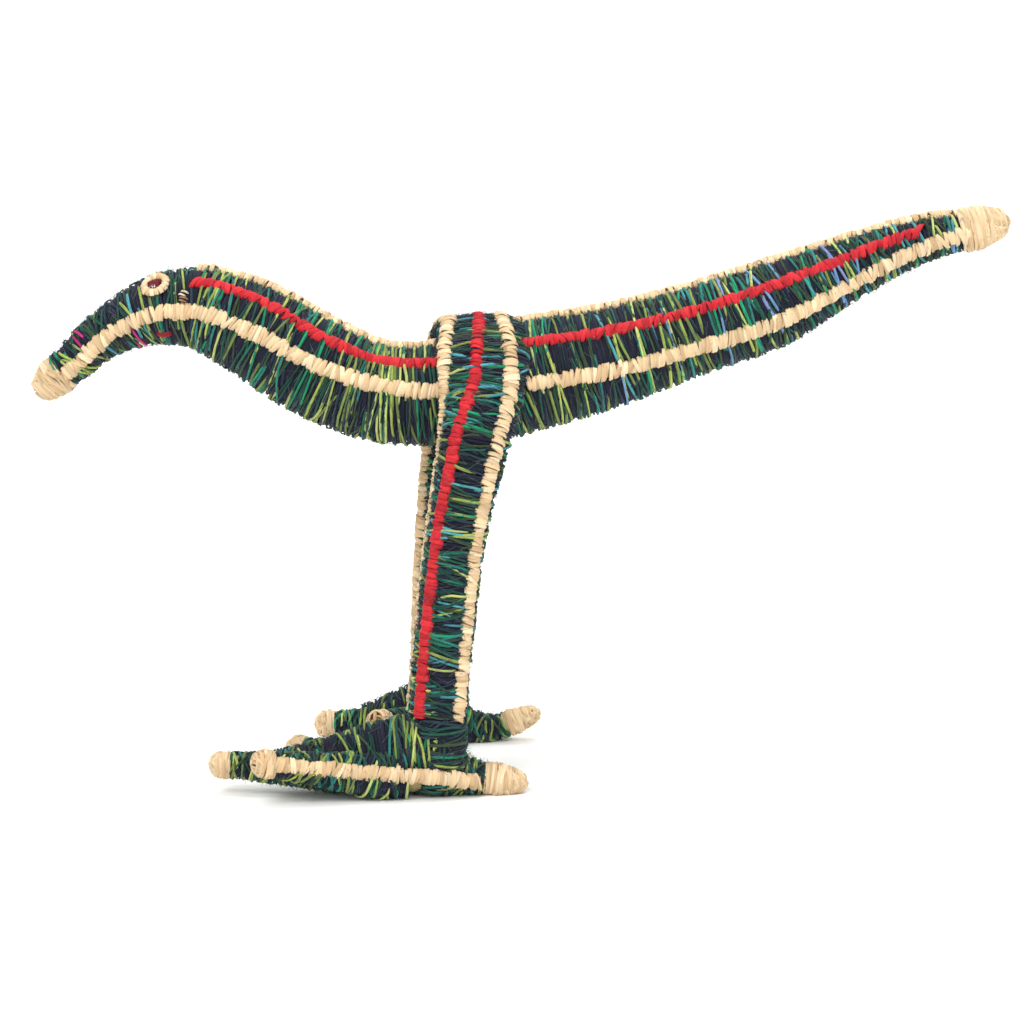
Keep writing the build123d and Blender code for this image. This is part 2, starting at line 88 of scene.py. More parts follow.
# %% Sweep and lamps
def studio_material():
    material = bpy.data.materials.new("pale_paper")
    material.use_nodes = True
    shader = material.node_tree.nodes["Principled BSDF"]
    noise = material.node_tree.nodes.new("ShaderNodeTexNoise")
    noise.inputs["Scale"].default_value = 3
    ramp = material.node_tree.nodes.new("ShaderNodeValToRGB")
    ramp.color_ramp.elements[0].color = (0.90, 0.90, 0.89, 1)
    ramp.color_ramp.elements[1].color = (0.93, 0.93, 0.92, 1)
    material.node_tree.links.new(noise.outputs["Fac"], ramp.inputs["Fac"])
    material.node_tree.links.new(ramp.outputs["Color"], shader.inputs["Base Color"])
    shader.inputs["Roughness"].default_value = 0.9
    return material


sweep_size, curve_step, wall_step = (14, 8, 1), (0, 0.8, 0.5), (0, 0.2, 5.0)
bpy.ops.mesh.primitive_plane_add(size=1)
sweep = bpy.context.object
sweep.name = "paper_sweep"
bpy.ops.object.mode_set(mode="EDIT")
bpy.ops.transform.resize(value=sweep_size)
bpy.ops.mesh.select_mode(type="EDGE")
bpy.ops.mesh.select_all(action="DESELECT")
bpy.ops.object.mode_set(mode="OBJECT")
for edge in sweep.data.edges:
    edge.select = all(sweep.data.vertices[v].co.y > 0 for v in edge.vertices)
bpy.ops.object.mode_set(mode="EDIT")
bpy.ops.mesh.extrude_region_move(TRANSFORM_OT_translate={"value": curve_step})
bpy.ops.mesh.extrude_region_move(TRANSFORM_OT_translate={"value": wall_step})
bpy.ops.object.mode_set(mode="OBJECT")
sweep.data.materials.append(studio_material())
bevel = sweep.modifiers.new("round_back", "BEVEL")
bevel.width = 0.4
bevel.segments = 8
bpy.ops.object.modifier_apply(modifier="round_back")
bpy.ops.object.shade_smooth()


def lamp(name, place, size, power, target=Vector((0, 0, 0.2))):
    data = bpy.data.lights.new(name, "AREA")
    data.shape = "DISK"
    data.size = size
    data.energy = power
    lamp_object = bpy.data.objects.new(name, data)
    lamp_object.location = place
    aim = target - Vector(place)
    lamp_object.rotation_euler = aim.to_track_quat("-Z", "Y").to_euler()
    bpy.context.scene.collection.objects.link(lamp_object)


lamp("key_lamp", (-0.9, -1.3, 1.7), 1.0, 24)
lamp("fill_lamp", (1.5, -1.2, 1.0), 1.3, 12)
lamp("top_lamp", (0.1, 0.3, 2.0), 1.8, 22)
lamp("wall_lamp", (0.0, 0.9, 2.6), 2.4, 90, Vector((0, 4.6, 1.6)))
world = bpy.data.worlds.new("studio_world")
world.use_nodes = True
background = world.node_tree.nodes["Background"]
background.inputs["Color"].default_value = (1, 1, 1, 1)
background.inputs["Strength"].default_value = 0.85
bpy.context.scene.world = world
bpy.context.scene.view_settings.view_transform = "Standard"
print("sweep and four lamps")

# %% [markdown]
# Everything on this bird is laid round something: yarn round the body, raffia round a toe. So the
# one shape needed is a wound form: a centre line with a half length and a half thickness at each
# station. Stations are joined by a smooth curve that leaves each one in the direction of its
# neighbours. Asking the form for its skin at a distance and an angle then gives a place for yarn.

# %% Wound form
def unit(v):
    return v / np.maximum(np.linalg.norm(v, axis=-1, keepdims=True), 1e-9)


class WoundForm:
    """Angle 0 faces outward, a quarter turn faces side_way. Lengths are millimetres."""

    def __init__(self, stations, side_way):
        self.rows = np.array(stations, float)
        gaps = np.linalg.norm(np.diff(self.rows[:, :3], axis=0), axis=1)
        self.marks = np.concatenate([[0], np.cumsum(gaps)])
        self.slopes = np.gradient(self.rows, self.marks, axis=0)
        self.side_way = np.array(side_way, float)
        self.length = self.marks[-1]

    def rows_at(self, s):
        s = np.clip(s, 0, self.length)
        k = np.clip(np.searchsorted(self.marks, s) - 1, 0, len(self.marks) - 2)
        gap = self.marks[k + 1] - self.marks[k]
        t = (s - self.marks[k]) / gap
        a, b = self.rows[k], self.rows[k + 1]
        p, q = self.slopes[k] * gap[..., None], self.slopes[k + 1] * gap[..., None]
        t = t[..., None]
        return a + t * p + t * t * (3 * (b - a) - 2 * p - q) + t ** 3 * (2 * (a - b) + p + q)

    def skin(self, s, angle, lift):
        """Places and outward directions on the skin, lifted off it."""
        s, angle, lift = np.broadcast_arrays(np.asarray(s, float), angle, lift)
        row = self.rows_at(s)
        step = 0.5
        along = unit(self.rows_at(s + step)[..., :3] - self.rows_at(s - step)[..., :3])
        side = unit(self.side_way - along * (along @ self.side_way)[..., None])
        out = np.cross(side, along)
        cosine, sine = np.cos(angle)[..., None], np.sin(angle)[..., None]
        long_half = row[..., 3:4] + lift[..., None]
        thick_half = row[..., 4:5] + lift[..., None]
        place = row[..., :3] + out * thick_half * cosine + side * long_half * sine
        return place, unit(out * cosine / thick_half + side * sine / long_half)


# %% [markdown]
# The body's stations are the solid model's: a share of the spine's length, a rise over the hip and
# a radius. The legs and the band over the back are one form, from one ankle up over the back and down
# to the other ankle, because the maker winds them round one bent wire.

# %% Body and legs as forms
overall_length, hip_height = 540.0, 218.5
beak_cap_reach, tail_cap_reach = 9.0, 18.0
spine_start = -overall_length / 2 + beak_cap_reach
spine_length = overall_length - beak_cap_reach - tail_cap_reach
spine_stations = [
    (0.000, 1.0, 8.6), (0.029, 14.5, 10.8), (0.064, 29.0, 13.0), (0.123, 41.6, 19.3),
    (0.157, 42.5, 21.6), (0.213, 32.0, 25.4), (0.281, 11.0, 27.4), (0.353, -4.8, 26.8),
    (0.419, -6.0, 28.0), (0.469, -1.5, 31.0), (0.519, 4.8, 30.5), (0.595, 13.5, 28.0),
    (0.686, 27.8, 24.4), (0.779, 43.6, 23.2), (0.857, 62.4, 17.2), (0.938, 79.0, 12.0),
    (1.000, 86.0, 9.0),
]
LEFT, RIGHT = -1, 1
side_names = {LEFT: "left", RIGHT: "right"}
body = WoundForm([(spine_start + share * spine_length, 0, hip_height + rise, radius, radius)
                  for share, rise, radius in spine_stations], (0, -1, 0))
EYE, CROWN, NECK, HIP, RUMP, TAIL_END = 3, 4, 6, 9, 11, 15
hip_x = spine_start + spine_stations[HIP][0] * spine_length
hip_radius = spine_stations[HIP][2]
hip_spread, ankle_spread, ankle_height, far_leg_lead = 42.0, 57.0, 43.0, 10.0
leg_stations = [(0.00, 1.00, 26.5, 15.0, 13.5), (0.30, 0.86, 21.5, 15.2, 13.5),
                (0.60, 0.58, 14.5, 15.8, 13.5), (0.86, 0.14, 5.0, 18.5, 13.0)]
saddle_stations = [(88.0, 3.0, 22.0, 10.5), (64.0, 1.0, 24.0, 8.8), (42.0, 0.3, 25.0, 7.6),
                   (21.0, 0.0, 25.0, 6.8), (0.0, 0.0, 25.0, 6.5)]


def leg_rows(side):
    """One leg from the ankle to the middle of the back."""
    lead = far_leg_lead * (side + 1) / 2
    rows = []
    for climb, way_out, ahead, half_length, half_thickness in leg_stations:
        spread = hip_spread + way_out * (ankle_spread - hip_spread)
        height = ankle_height + climb * (hip_height - ankle_height)
        rows.append((hip_x - ahead - lead * climb, side * spread, height,
                     half_length, half_thickness))
    for turn, out, half_length, half_thickness in saddle_stations:
        turned, reach = math.radians(turn), hip_radius + out
        ahead = lead * turn / saddle_stations[0][0]
        rows.append((hip_x - ahead, side * reach * math.sin(turned),
                     hip_height + reach * math.cos(turned), half_length, half_thickness))
    return rows


yoke = WoundForm(leg_rows(LEFT) + leg_rows(RIGHT)[-2::-1], (1, 0, 0))
THIGH, TOP = 3, 8
thigh_mark, top_mark = yoke.marks[THIGH], yoke.marks[TOP]
print("body", round(body.length), "mm along; legs and saddle", round(yoke.length), "mm")

# %% [markdown]
# Each foot is four toes that leave the ankle, with a sloping instep over the roots. The toes differ
# from foot to foot, as on anything bent by hand: each has its own reach, swing, lift, radius at the
# tip and length of cap. The instep is one tall form along the middle toe, so its turns stand up.

# %% Toes and insteps as forms
toe_names = ["outer", "middle", "inner", "hind"]
OUTER, MIDDLE, INNER, HIND = range(4)
toes = {
    LEFT: [(102.5, 16.0, 21.5, 5.6, 11.0), (123.5, 0.0, 13.5, 5.6, 11.0),
           (93.5, -27.0, 12.0, 5.6, 11.0), (48.5, 180.0, 4.5, 6.6, 22.0)],
    RIGHT: [(54.0, 32.5, 2.0, 5.8, 10.0), (72.0, 0.0, 7.5, 5.6, 11.0),
            (54.0, -45.0, 16.5, 5.8, 10.0), (59.5, 178.0, 14.0, 5.2, 20.0)],
}
toe_root_radius, sole_depth = 16.5, 2.5
toe_shares = [0.0, 0.30, 0.60, 1.0]
front_falloff, hind_falloff = [1.0, 0.70, 0.32, 0.0], [1.0, 0.45, 0.14, 0.0]
front_lifts, hind_lifts = [0.0, 0.08, 0.50, 1.0], [0.0, 0.04, 0.30, 1.0]


def toe_row(side, toe, share):
    reach, swing, lift, tip_radius, _ = toes[side][toe]
    swing = math.radians(swing)
    falloff = np.interp(share, toe_shares, hind_falloff if toe == HIND else front_falloff)
    raised = lift * np.interp(share, toe_shares, hind_lifts if toe == HIND else front_lifts)
    radius = tip_radius + (toe_root_radius - tip_radius) * falloff
    ankle = leg_rows(side)[0]
    return (ankle[0] - math.cos(swing) * reach * share,
            ankle[1] + side * math.sin(swing) * reach * share,
            radius - sole_depth + raised, radius, radius)


def level_side(side, toe):
    """Level direction across a toe, so that its form faces up at angle 0."""
    swing = math.radians(toes[side][toe][1])
    heading = np.array([-math.cos(swing), side * math.sin(swing), 0])
    return np.cross(heading, (0, 0, 1))


def cap_share(side, toe):
    return 1 - toes[side][toe][4] / toes[side][toe][0]


def toe_form(side, toe):
    shares = (0.0, 0.3, 0.6, cap_share(side, toe))
    if shares[-1] < 0.65:
        shares = (0.0, 0.3, shares[-1])
    return WoundForm([toe_row(side, toe, share) for share in shares], level_side(side, toe))


BLUNT = [(0.0, 0.90), (0.25, 1.0), (0.55, 0.95), (0.82, 0.72), (0.96, 0.36), (1.0, 0.08)]
TAPERED = [(0.0, 0.96), (0.25, 1.0), (0.5, 0.88), (0.75, 0.70), (0.94, 0.40), (1.0, 0.08)]


def rounded_cap(row, along, length, radius, side_way, profile=BLUNT):
    """A form that starts at a row, swells a little and closes to a small tip."""
    place = np.array(row[:3])
    rows = [(*(place + along * length * share), radius * r, radius * r) for share, r in profile]
    return WoundForm(rows, side_way)


# Each instep row: distance ahead of the ankle, height of the middle, half width, half height.
instep_rows = {
    LEFT: [(-4, 22.0, 14.0, 21.0), (12, 21.8, 14.5, 21.6), (24, 21.2, 13.5, 20.6),
           (46, 17.4, 11.5, 17.2), (72, 15.8, 9.5, 11.8), (88, 14.6, 8.2, 8.6)],
    RIGHT: [(-4, 19.6, 14.0, 19.4), (10, 17.5, 14.5, 18.0), (24, 14.2, 13.5, 15.2),
            (44, 11.0, 10.2, 10.4)],
}
# Each ankle row: height from the ankle, half length, half thickness.
ankle_column = [(0, 15.0, 13.5), (-14, 15.8, 13.6), (-24, 16.2, 14.5), (-31, 16.5, 16.0)]
ankle_forms, instep_forms = {}, {}
for side in side_names:
    ankle = np.array(leg_rows(side)[0][:3])
    ankle_forms[side] = WoundForm([(ankle[0], ankle[1], ankle[2] + z, half_length, half_thickness)
                                   for z, half_length, half_thickness in ankle_column], (1, 0, 0))
    instep_forms[side] = WoundForm([(ankle[0] - ahead, ankle[1], middle, wide, tall)
                                    for ahead, middle, wide, tall in instep_rows[side]],
                                   (0, side, 0))
print("eight toes and two insteps")

# %% [markdown]
# A strand is a small closed tube swept along a path. Yarn, raffia strips and loose wool hairs are
# all strands, and only their section and path differ. Thousands of them are too many to model by
# hand, so one helper sweeps each strand and gathers them into one mesh. Each strand keeps its own
# dye in a colour attribute, and its length along the fibre in a UV map, for the materials to read.

# %% Strand gatherer
ROUND = [(math.cos(a), math.sin(a)) for a in np.arange(5) * 2 * math.pi / 5]
HAIR = [(math.cos(a), math.sin(a)) for a in np.arange(3) * 2 * math.pi / 3]
CREASED = [(1.0, 0.1), (0.5, 1.0), (0.05, 0.45), (-0.45, 1.0), (-1.0, 0.1), (-0.8, -0.8),
           (0.8, -0.8)]
UV_PER_MM = 0.1


def tube_quads(rings, sides):
    """Quads that join rings of points into a tube, with the ring and side of each quad."""
    i, j = np.meshgrid(np.arange(rings - 1), np.arange(sides), indexing="ij")
    turned = (j + 1) % sides
    corners = [i * sides + j, (i + 1) * sides + j, (i + 1) * sides + turned, i * sides + turned]
    return np.stack(corners, -1).reshape(-1, 4), i, j


class Strands:
    def __init__(self):
        self.points, self.quads, self.ends, self.dyes, self.uvs = [], [], [], [], []
        self.count = 0

    def lay(self, path, out, width, thickness, section, dye):
        """Sweeps one closed strand along a path, with out as the side that faces away."""
        n, m = len(path), len(section)
        along = unit(np.gradient(path, axis=0))
        across = unit(np.cross(along, out))
        up = np.cross(across, along)
        shape = np.array(section)
        width, thickness = np.broadcast_to(width, n), np.broadcast_to(thickness, n)
        ring = (path[:, None] + across[:, None] * shape[None, :, :1] * width[:, None, None]
                + up[:, None] * shape[None, :, 1:] * thickness[:, None, None])
        self.points.append(ring.reshape(-1, 3))
        quad, i, j = tube_quads(n, m)
        self.quads.append(quad + self.count)
        first = np.arange(m) + self.count
        self.ends += [first, first[::-1] + (n - 1) * m]
        self.dyes.append(np.repeat(np.broadcast_to(dye, (n, 3)), m, axis=0))
        steps = np.linalg.norm(np.diff(path, axis=0), axis=1)
        run = np.concatenate([[0], np.cumsum(steps)]) * UV_PER_MM
        u0, u1 = run[i], run[i + 1]
        v0, v1 = j / m, (j + 1) / m
        uv = np.stack([np.stack([u0, v0], -1), np.stack([u1, v0], -1),
                       np.stack([u1, v1], -1), np.stack([u0, v1], -1)], 2)
        self.uvs.append(uv.reshape(-1, 2))
        self.count += n * m

    def piece(self, name, material, replaced):
        """Makes the gathered strands one mesh piece that stands for CAD nodes."""
        points = np.concatenate(self.points) * MM
        points[:, 2] = np.maximum(points[:, 2], 0.0)
        quads = np.concatenate(self.quads)
        loops = np.concatenate([quads.ravel()] + self.ends)
        totals = np.concatenate([np.full(len(quads), 4), [len(end) for end in self.ends]])
        mesh = bpy.data.meshes.new(name)
        mesh.vertices.add(len(points))
        mesh.vertices.foreach_set("co", points.ravel())
        mesh.loops.add(len(loops))
        mesh.loops.foreach_set("vertex_index", loops.astype(np.int32))
        mesh.polygons.add(len(totals))
        starts = np.concatenate([[0], np.cumsum(totals)[:-1]])
        mesh.polygons.foreach_set("loop_start", starts.astype(np.int32))
        mesh.update(calc_edges=True)
        dye = mesh.color_attributes.new("dye", "FLOAT_COLOR", "POINT")
        rgba = np.concatenate([np.concatenate(self.dyes), np.ones((len(points), 1))], 1)
        dye.data.foreach_set("color", rgba.ravel())
        uv = mesh.uv_layers.new(name="fibre")
        sides = np.concatenate(self.uvs)
        coords = np.zeros((len(loops), 2))
        coords[:len(sides)] = sides
        uv.data.foreach_set("uv", coords.ravel())
        mesh.polygons.foreach_set("use_smooth", np.ones(len(totals), bool))
        mesh.validate()
        made = bpy.data.objects.new(name, mesh)
        bpy.context.scene.collection.objects.link(made)
        mesh.materials.append(material)
        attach(made, "root")
        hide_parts(*replaced)
        print(name, len(points), "points", sum(totals - 2), "triangles")
        return made


# %% [markdown]
# Wool and raffia are both fibres, so one recipe makes both: the dye comes from the strand, fine
# streaks run along the fibre, and a bump follows the same streaks. Wool is dull and hazy, so it has
# a sheen. Raffia is a dried leaf: it is harder, with sharper streaks and a faint gloss.

# %% Fibre materials
def fibre_material(name, streaks, depth, bump_height, roughness, sheen, sheen_tint):
    material = bpy.data.materials.new(name)
    material.use_nodes = True
    nodes, links = material.node_tree.nodes, material.node_tree.links
    shader = nodes["Principled BSDF"]
    dye = nodes.new("ShaderNodeAttribute")
    dye.attribute_name = "dye"
    fibre = nodes.new("ShaderNodeUVMap")
    fibre.uv_map = "fibre"
    stretch = nodes.new("ShaderNodeMapping")
    stretch.inputs["Scale"].default_value = streaks
    noise = nodes.new("ShaderNodeTexNoise")
    noise.inputs["Scale"].default_value = 1.0
    noise.inputs["Detail"].default_value = 4.0
    shade = nodes.new("ShaderNodeMapRange")
    limits = {"From Min": 0.25, "From Max": 0.75, "To Min": 1 - depth, "To Max": 1 + depth}
    for limit, value in limits.items():
        shade.inputs[limit].default_value = value
    mottle = nodes.new("ShaderNodeVectorMath")
    mottle.operation = "SCALE"
    bump = nodes.new("ShaderNodeBump")
    bump.inputs["Strength"].default_value = 0.8
    bump.inputs["Distance"].default_value = bump_height * MM
    links.new(fibre.outputs["UV"], stretch.inputs["Vector"])
    links.new(stretch.outputs["Vector"], noise.inputs["Vector"])
    links.new(noise.outputs["Fac"], shade.inputs["Value"])
    links.new(dye.outputs["Color"], mottle.inputs[0])
    links.new(shade.outputs["Result"], mottle.inputs["Scale"])
    links.new(mottle.outputs["Vector"], shader.inputs["Base Color"])
    links.new(noise.outputs["Fac"], bump.inputs["Height"])
    links.new(bump.outputs["Normal"], shader.inputs["Normal"])
    shader.inputs["Roughness"].default_value = roughness
    shader.inputs["Sheen Weight"].default_value = sheen
    shader.inputs["Sheen Roughness"].default_value = 0.5
    shader.inputs["Sheen Tint"].default_value = (*sheen_tint, 1)
    shader.inputs["Specular IOR Level"].default_value = 0.25
    return material


wool = fibre_material("wound_wool", (1.5, 7, 1), 0.45, 0.5, 0.95, 0.25, (0.35, 0.38, 0.5))
raffia = fibre_material("natural_raffia", (0.8, 14, 1), 0.22, 0.35, 0.62, 0.0, (1, 1, 1))
red_raffia = fibre_material("red_raffia", (0.8, 12, 1), 0.30, 0.35, 0.60, 0.0, (1, 1, 1))
print("three fibre materials")

# %% [markdown]
# The yarn is mostly navy, with turns of lime, olive, emerald and teal. Winding is done in four
# layers. A closed filling keeps light from passing, a long navy thread goes round and round, thin
# dark green turns lie over it, and brighter loose turns come last. Short stray hairs finish it,
# because wool is never smooth at its edge.

# %% Dyes and winding
NAVY = [(0.010, 0.010, 0.024), (0.014, 0.015, 0.032), (0.008, 0.014, 0.022)]
LIME = [(0.30, 0.38, 0.075), (0.21, 0.27, 0.060), (0.38, 0.44, 0.13), (0.15, 0.20, 0.05)]
GREEN = [(0.010, 0.23, 0.105), (0.008, 0.12, 0.065), (0.006, 0.055, 0.035), (0.02, 0.17, 0.14)]
DEEP = [(0.006, 0.045, 0.030), (0.012, 0.075, 0.045), (0.035, 0.060, 0.022),
        (0.015, 0.035, 0.050)]
BLUE = [(0.12, 0.24, 0.42), (0.20, 0.26, 0.50), (0.06, 0.26, 0.30)]
BEAK = [(0.45, 0.02, 0.16), (0.70, 0.68, 0.62), (0.06, 0.26, 0.30), (0.30, 0.38, 0.075)]
HAIR_DYES = NAVY + [(0.10, 0.10, 0.16), (0.16, 0.20, 0.16)]
yarn_radius, thread_pitch, accent_radius, deep_radius, hair_radius = 1.15, 1.9, 0.82, 0.62, 0.085
filling_sides, filling_step = 24, 5
thread_points, thread_sink = 20, 0.9


def pick(rng, dyes):
    return np.array(dyes[rng.integers(len(dyes))]) * rng.uniform(0.8, 1.2)


def blend(at, shades):
    """Colour at each place along a row of shades."""
    return np.stack([np.interp(at, np.arange(len(shades)), shades[:, c]) for c in range(3)], -1)


def wavering(at, stop, step, draw):
    """Random values at even steps, joined by straight runs."""
    knots = np.arange(0, stop, step)
    return np.interp(at, knots, draw(len(knots)))


def fill(strands, form, start, end, lift):
    """A closed filling just under the windings."""
    m = filling_sides
    count = max(int((end - start) / filling_step), 2) + 1
    s = np.linspace(start, end, count)
    angles = np.arange(m) * 2 * math.pi / m
    centre = form.rows_at(s)[:, :3]
    place, _ = form.skin(s[:, None], -angles[None, :], lift)
    strands.points.append(place.reshape(-1, 3))
    quad, _, _ = tube_quads(count, m)
    normal = np.cross(place[0, 1] - place[0, 0], place[1, 0] - place[0, 0])
    inward = normal @ (place[0, 0] - centre[0]) > 0
    if inward:
        quad = quad[:, ::-1]
    strands.quads.append(quad + strands.count)
    first = np.arange(m) + strands.count
    last = first + (count - 1) * m
    strands.ends += [first[::-1], last] if inward else [first, last[::-1]]
    strands.dyes.append(np.tile(np.array(NAVY[0]), (count * m, 1)))
    strands.uvs.append(np.zeros((len(quad) * 4, 2)))
    strands.count += count * m


def thread(strands, form, start, end, rng, radius=yarn_radius, pitch=thread_pitch):
    """One long navy thread, round and round."""
    turns = max((end - start) / pitch, 1.0)
    turn = np.linspace(0, turns, int(turns * thread_points))
    wander = wavering(turn, int(turns) + 2, 1, lambda n: rng.normal(0, 0.35, n))
    s = np.clip(start + turn * pitch + wander, start, end)
    lift = -radius * thread_sink + wavering(turn, turns + 2, 0.4, lambda n: rng.normal(0, 0.22, n))
    path, out = form.skin(s, 2 * math.pi * turn, lift)
    shades = np.array([pick(rng, NAVY) for _ in range(int(turns) + 2)])
    strands.lay(path, out, radius, radius, ROUND, blend(turn, shades))


def accents(strands, form, start, end, rng, gap, dyes, slant=2.4, radius=accent_radius,
            reach=(60, 170), within=(0, 360), drift=0.0):
    """Loose coloured turns that cross the thread at a slant and dive under it at both ends."""
    spread = within[1] - within[0]
    mean_reach = min(sum(reach) / 2, spread)
    count = int((end - start) / gap * spread / mean_reach)
    for _ in range(count):
        span = math.radians(min(rng.uniform(*reach), spread))
        n = max(int(span * 4.2), 6)
        t = np.linspace(0, 1, n)
        begin = math.radians(within[0]) + rng.uniform(0, max(math.radians(spread) - span, 0.001))
        if spread >= 360:
            begin = rng.uniform(0, 2 * math.pi)
        place = rng.uniform(start, end)
        lean = (rng.normal(0, slant) + drift * math.sin(begin + span / 2)) * span
        wave = rng.normal(0, 0.6)
        s = np.clip(place + lean * (t - 0.5) + wave * np.sin(t * math.pi * 2), start, end)
        lift = radius * 0.45 + rng.uniform(-0.1, 0.7) - 2.2 * np.abs(2 * t - 1) ** 8
        path, out = form.skin(s, begin + span * t, lift)
        thick = radius * rng.uniform(0.8, 1.15) * (1 - 0.35 * np.abs(2 * t - 1) ** 6)
        strands.lay(path, out, thick, thick * 0.85, ROUND, pick(rng, dyes[rng.integers(len(dyes))]))


def hairs(strands, form, start, end, rng, count, within=(0, 360)):
    """Short stray wool hairs that lift off the yarn."""
    for _ in range(count):
        span = rng.uniform(5, 13)
        t = np.linspace(0, 1, 5)
        s = rng.uniform(start, end) + rng.normal(0, 3) * t
        around = math.radians(rng.uniform(*within))
        size = form.rows_at(np.clip(s[:1], 0, form.length))[0, 4]
        angle = around + rng.choice([-1, 1]) * span / max(size, 5) * t * rng.uniform(0.3, 1)
        lift = 0.4 + rng.uniform(0.8, 3.0) * t ** 1.5
        path, out = form.skin(np.clip(s, start, end), angle, lift)
        strands.lay(path, out, hair_radius, hair_radius, HAIR, pick(rng, HAIR_DYES))


def wound(strands, form, start, end, rng, gap, dyes, hair_count, slant=2.4, drift=1.6):
    fill(strands, form, start, end, -yarn_radius * 1.5)
    thread(strands, form, start, end, rng)
    accents(strands, form, start, end, rng, gap * 0.7, [DEEP], slant * 1.3, deep_radius, (50, 150),
            drift=drift)
    accents(strands, form, start, end, rng, gap, dyes, slant, drift=drift)
    hairs(strands, form, start, end, rng, hair_count)


# %% [markdown]
# The body is wound in four lengths, so each can be changed alone. The beak carries the odd magenta
# and white turn behind its cap, and blue shows towards the tail.

# %% Wool of the beak, head, belly and tail
def mark(k):
    return body.marks[k]


CHEEK = [(0.30, 0.17, 0.08), (0.62, 0.52, 0.38)]
cheek_count, cheek_back, cheek_first, cheek_step = 8, 13.5, 62, 4.5


def cheek(strands, rng):
    """Short brown and cream stitches behind each eye."""
    for turn in (-1, 1):
        for k in range(cheek_count):
            t = np.linspace(-1, 1, 6)
            s = mark(EYE) + cheek_back + rng.normal(0, 0.5) + t * rng.uniform(1.3, 2.2)
            lift = 1.3 - 2.0 * np.abs(t) ** 3
            angle = np.radians(turn * (cheek_first + cheek_step * k)) + t * 0.03
            path, out = body.skin(s, angle, lift)
            strands.lay(path, out, 0.6, 0.5, ROUND, pick(rng, CHEEK))


body_lengths = [
    ("beak_wool", 0.0, mark(EYE), [LIME, GREEN, BEAK], 3.6, "beak_wool"),
    ("head_wool", mark(EYE), mark(NECK), [LIME, GREEN], 3.2, "body_wool"),
    ("belly_wool", mark(NECK), mark(RUMP), [LIME, LIME, GREEN], 3.0, "body_wool"),
    ("tail_wool", mark(RUMP), body.length, [LIME, GREEN, LIME, GREEN, BLUE], 3.2, "tail_wool"),
]
for seed, (name, start, end, dyes, gap, slot) in enumerate(body_lengths):
    rng = np.random.default_rng(100 + seed)
    strands = Strands()
    wound(strands, body, start, end, rng, gap, dyes, int((end - start) * 9))
    if name == "head_wool":
        cheek(strands, rng)
    strands.piece(name, wool, [name])

# %% [markdown]
# A leg is wound like the body but on a thinner form, and the turns lean more, because the maker
# crosses them to cover the bend at the hip. The band over the back gets its coloured turns only on
# the outside, since the body is under it.

# %% Wool of the legs and the band over the back
saddle_start, saddle_end = thigh_mark, yoke.length - thigh_mark
TEAL = BLUE[2:]
for side, name, begin, end in ((LEFT, "left_leg_wool", 0.0, thigh_mark),
                               (RIGHT, "right_leg_wool", saddle_end, yoke.length)):
    rng = np.random.default_rng(200 + side)
    strands = Strands()
    wound(strands, yoke, begin, end, rng, 3.2, [LIME, GREEN, LIME, GREEN, TEAL], 1500, slant=3.0)
    strands.piece(name, wool, [name])
rng = np.random.default_rng(210)
strands = Strands()
outer_half = (-110, 110)
fill(strands, yoke, saddle_start, saddle_end, -yarn_radius * 1.3)
thread(strands, yoke, saddle_start, saddle_end, rng)
accents(strands, yoke, saddle_start, saddle_end, rng, 2.4, [DEEP], 4.0, deep_radius, (40, 120),
        outer_half)
accents(strands, yoke, saddle_start, saddle_end, rng, 3.8, [LIME, GREEN, GREEN, TEAL], slant=4.5,
        reach=(40, 120), within=outer_half)
hairs(strands, yoke, saddle_start, saddle_end, rng, 1300, within=(-95, 95))
strands.piece("saddle_wool", wool, ["saddle_wool"])

# %% [markdown]
# Each foot is one piece of wool: ankle, heel, instep and four toes are wound in turn, with the same
# yarn. Last, a few long turns fan out from the front of the ankle to the back of the heel.

# %% Wool of the feet
BALL = [(-0.98, 0.15), (-0.7, 0.71), (-0.3, 0.95), (0.1, 0.99), (0.5, 0.87), (0.85, 0.55)]
fan_count, toe_start_share = 17, 0.22


def heel(side):
    """A ball that closes the heel, where the turns of the toes meet."""
    ankle = leg_rows(side)[0]
    radius = toe_root_radius + 0.4
    height = radius - sole_depth
    rows = [(ankle[0], ankle[1], height + radius * z, radius * r, radius * r) for z, r in BALL]
    return WoundForm(rows, (0, side, 0))


def fan(strands, side, rng):
    """Long turns that start in front of the ankle and dive in behind the heel, lower and lower."""
    form = ankle_forms[side]
    toward = -1 if side == RIGHT else 1
    for k in range(fan_count):
        t = np.linspace(0, 1, 14)
        s = 3.0 + k * 0.9 + rng.normal(0, 0.8) + t * (13 + k * 0.55)
        angle = np.radians(-118 + rng.normal(0, 7) + t * (205 - k * 3))
        lift = 1.0 + rng.uniform(0, 0.6) - 3.0 * np.abs(2 * t - 1) ** 8
        path, out = form.skin(np.clip(s, 0, form.length), angle * toward, lift)
        strands.lay(path, out, 0.85, 0.7, ROUND, pick(rng, LIME if k % 3 else GREEN))


